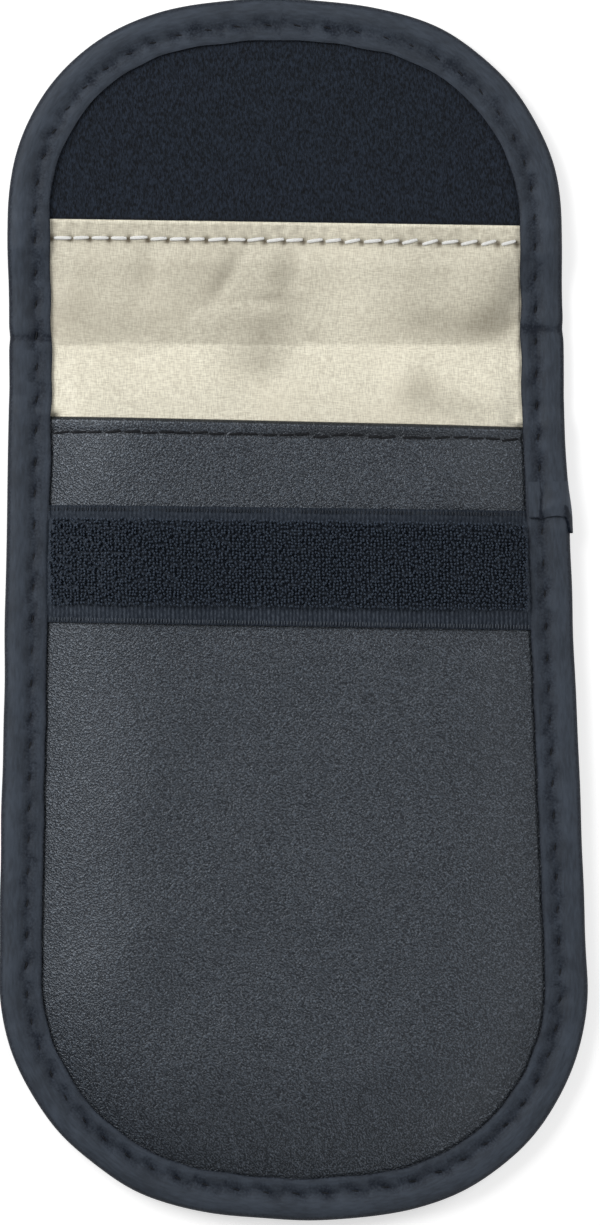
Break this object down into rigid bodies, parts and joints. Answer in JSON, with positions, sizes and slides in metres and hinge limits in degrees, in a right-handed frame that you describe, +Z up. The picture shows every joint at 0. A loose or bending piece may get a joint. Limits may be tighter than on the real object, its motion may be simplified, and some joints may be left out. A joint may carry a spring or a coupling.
{
  "type": "signal-blocking key pouch",
  "caption": "Soft signal-blocking key pouch, open and on its back: bound leather shell, cloth-lined pocket with hook tape, and a fold-over flap with a loop panel.",
  "frame": {"origin": "centre of the bounding box, on the surface that the open pouch lies on", "axes": "+X across the pouch, to the right in the picture; +Y along it, from the pocket's bottom to the flap's tip; +Z up, out of the open inside"},
  "size_m": [0.094, 0.1952, 0.0094],
  "materials": {
    "outer_leather": "satin, fine pebble grain",
    "front_leather": "satin, fine pebble grain",
    "binding_tape": "smooth satin",
    "shield_cloth": "metallised plain weave",
    "lining_cloth": "smooth metallised cloth, warm pale grey",
    "loop_cloth": "brushed knit",
    "hook_tape": "woven nylon",
    "hooks": "dense nylon hooks"
  },
  "bodies": {
    "pocket": {"back_shell": "outer_leather", "back_shield": "shield_cloth", "back_lining": "lining_cloth", "front_lining": "lining_cloth", "front_shield": "shield_cloth", "front_panel": "front_leather", "hook_tape": "hook_tape", "hook_field": "hooks", "pocket_binding": "binding_tape", "binding_lap": "binding_tape", "fold_shell": "outer_leather", "fold_shield": "shield_cloth", "fold_lining": "lining_cloth", "fold_binding_left": "binding_tape", "fold_binding_right": "binding_tape"},
    "flap": {"flap_shell": "outer_leather", "flap_shield": "shield_cloth", "flap_loop_panel": "loop_cloth", "flap_lining": "lining_cloth", "flap_binding": "binding_tape"}
  },
  "joints": [
    {"name": "flap_fold", "type": "hinge", "parent": "pocket", "child": "flap", "pos_m": [0, 0.04275, 0.00625], "axis": [1, 0, 0], "range_deg": [0, 180], "deforming": ["fold_shell", "fold_shield", "fold_lining", "fold_binding_left", "fold_binding_right"]}
  ]
}
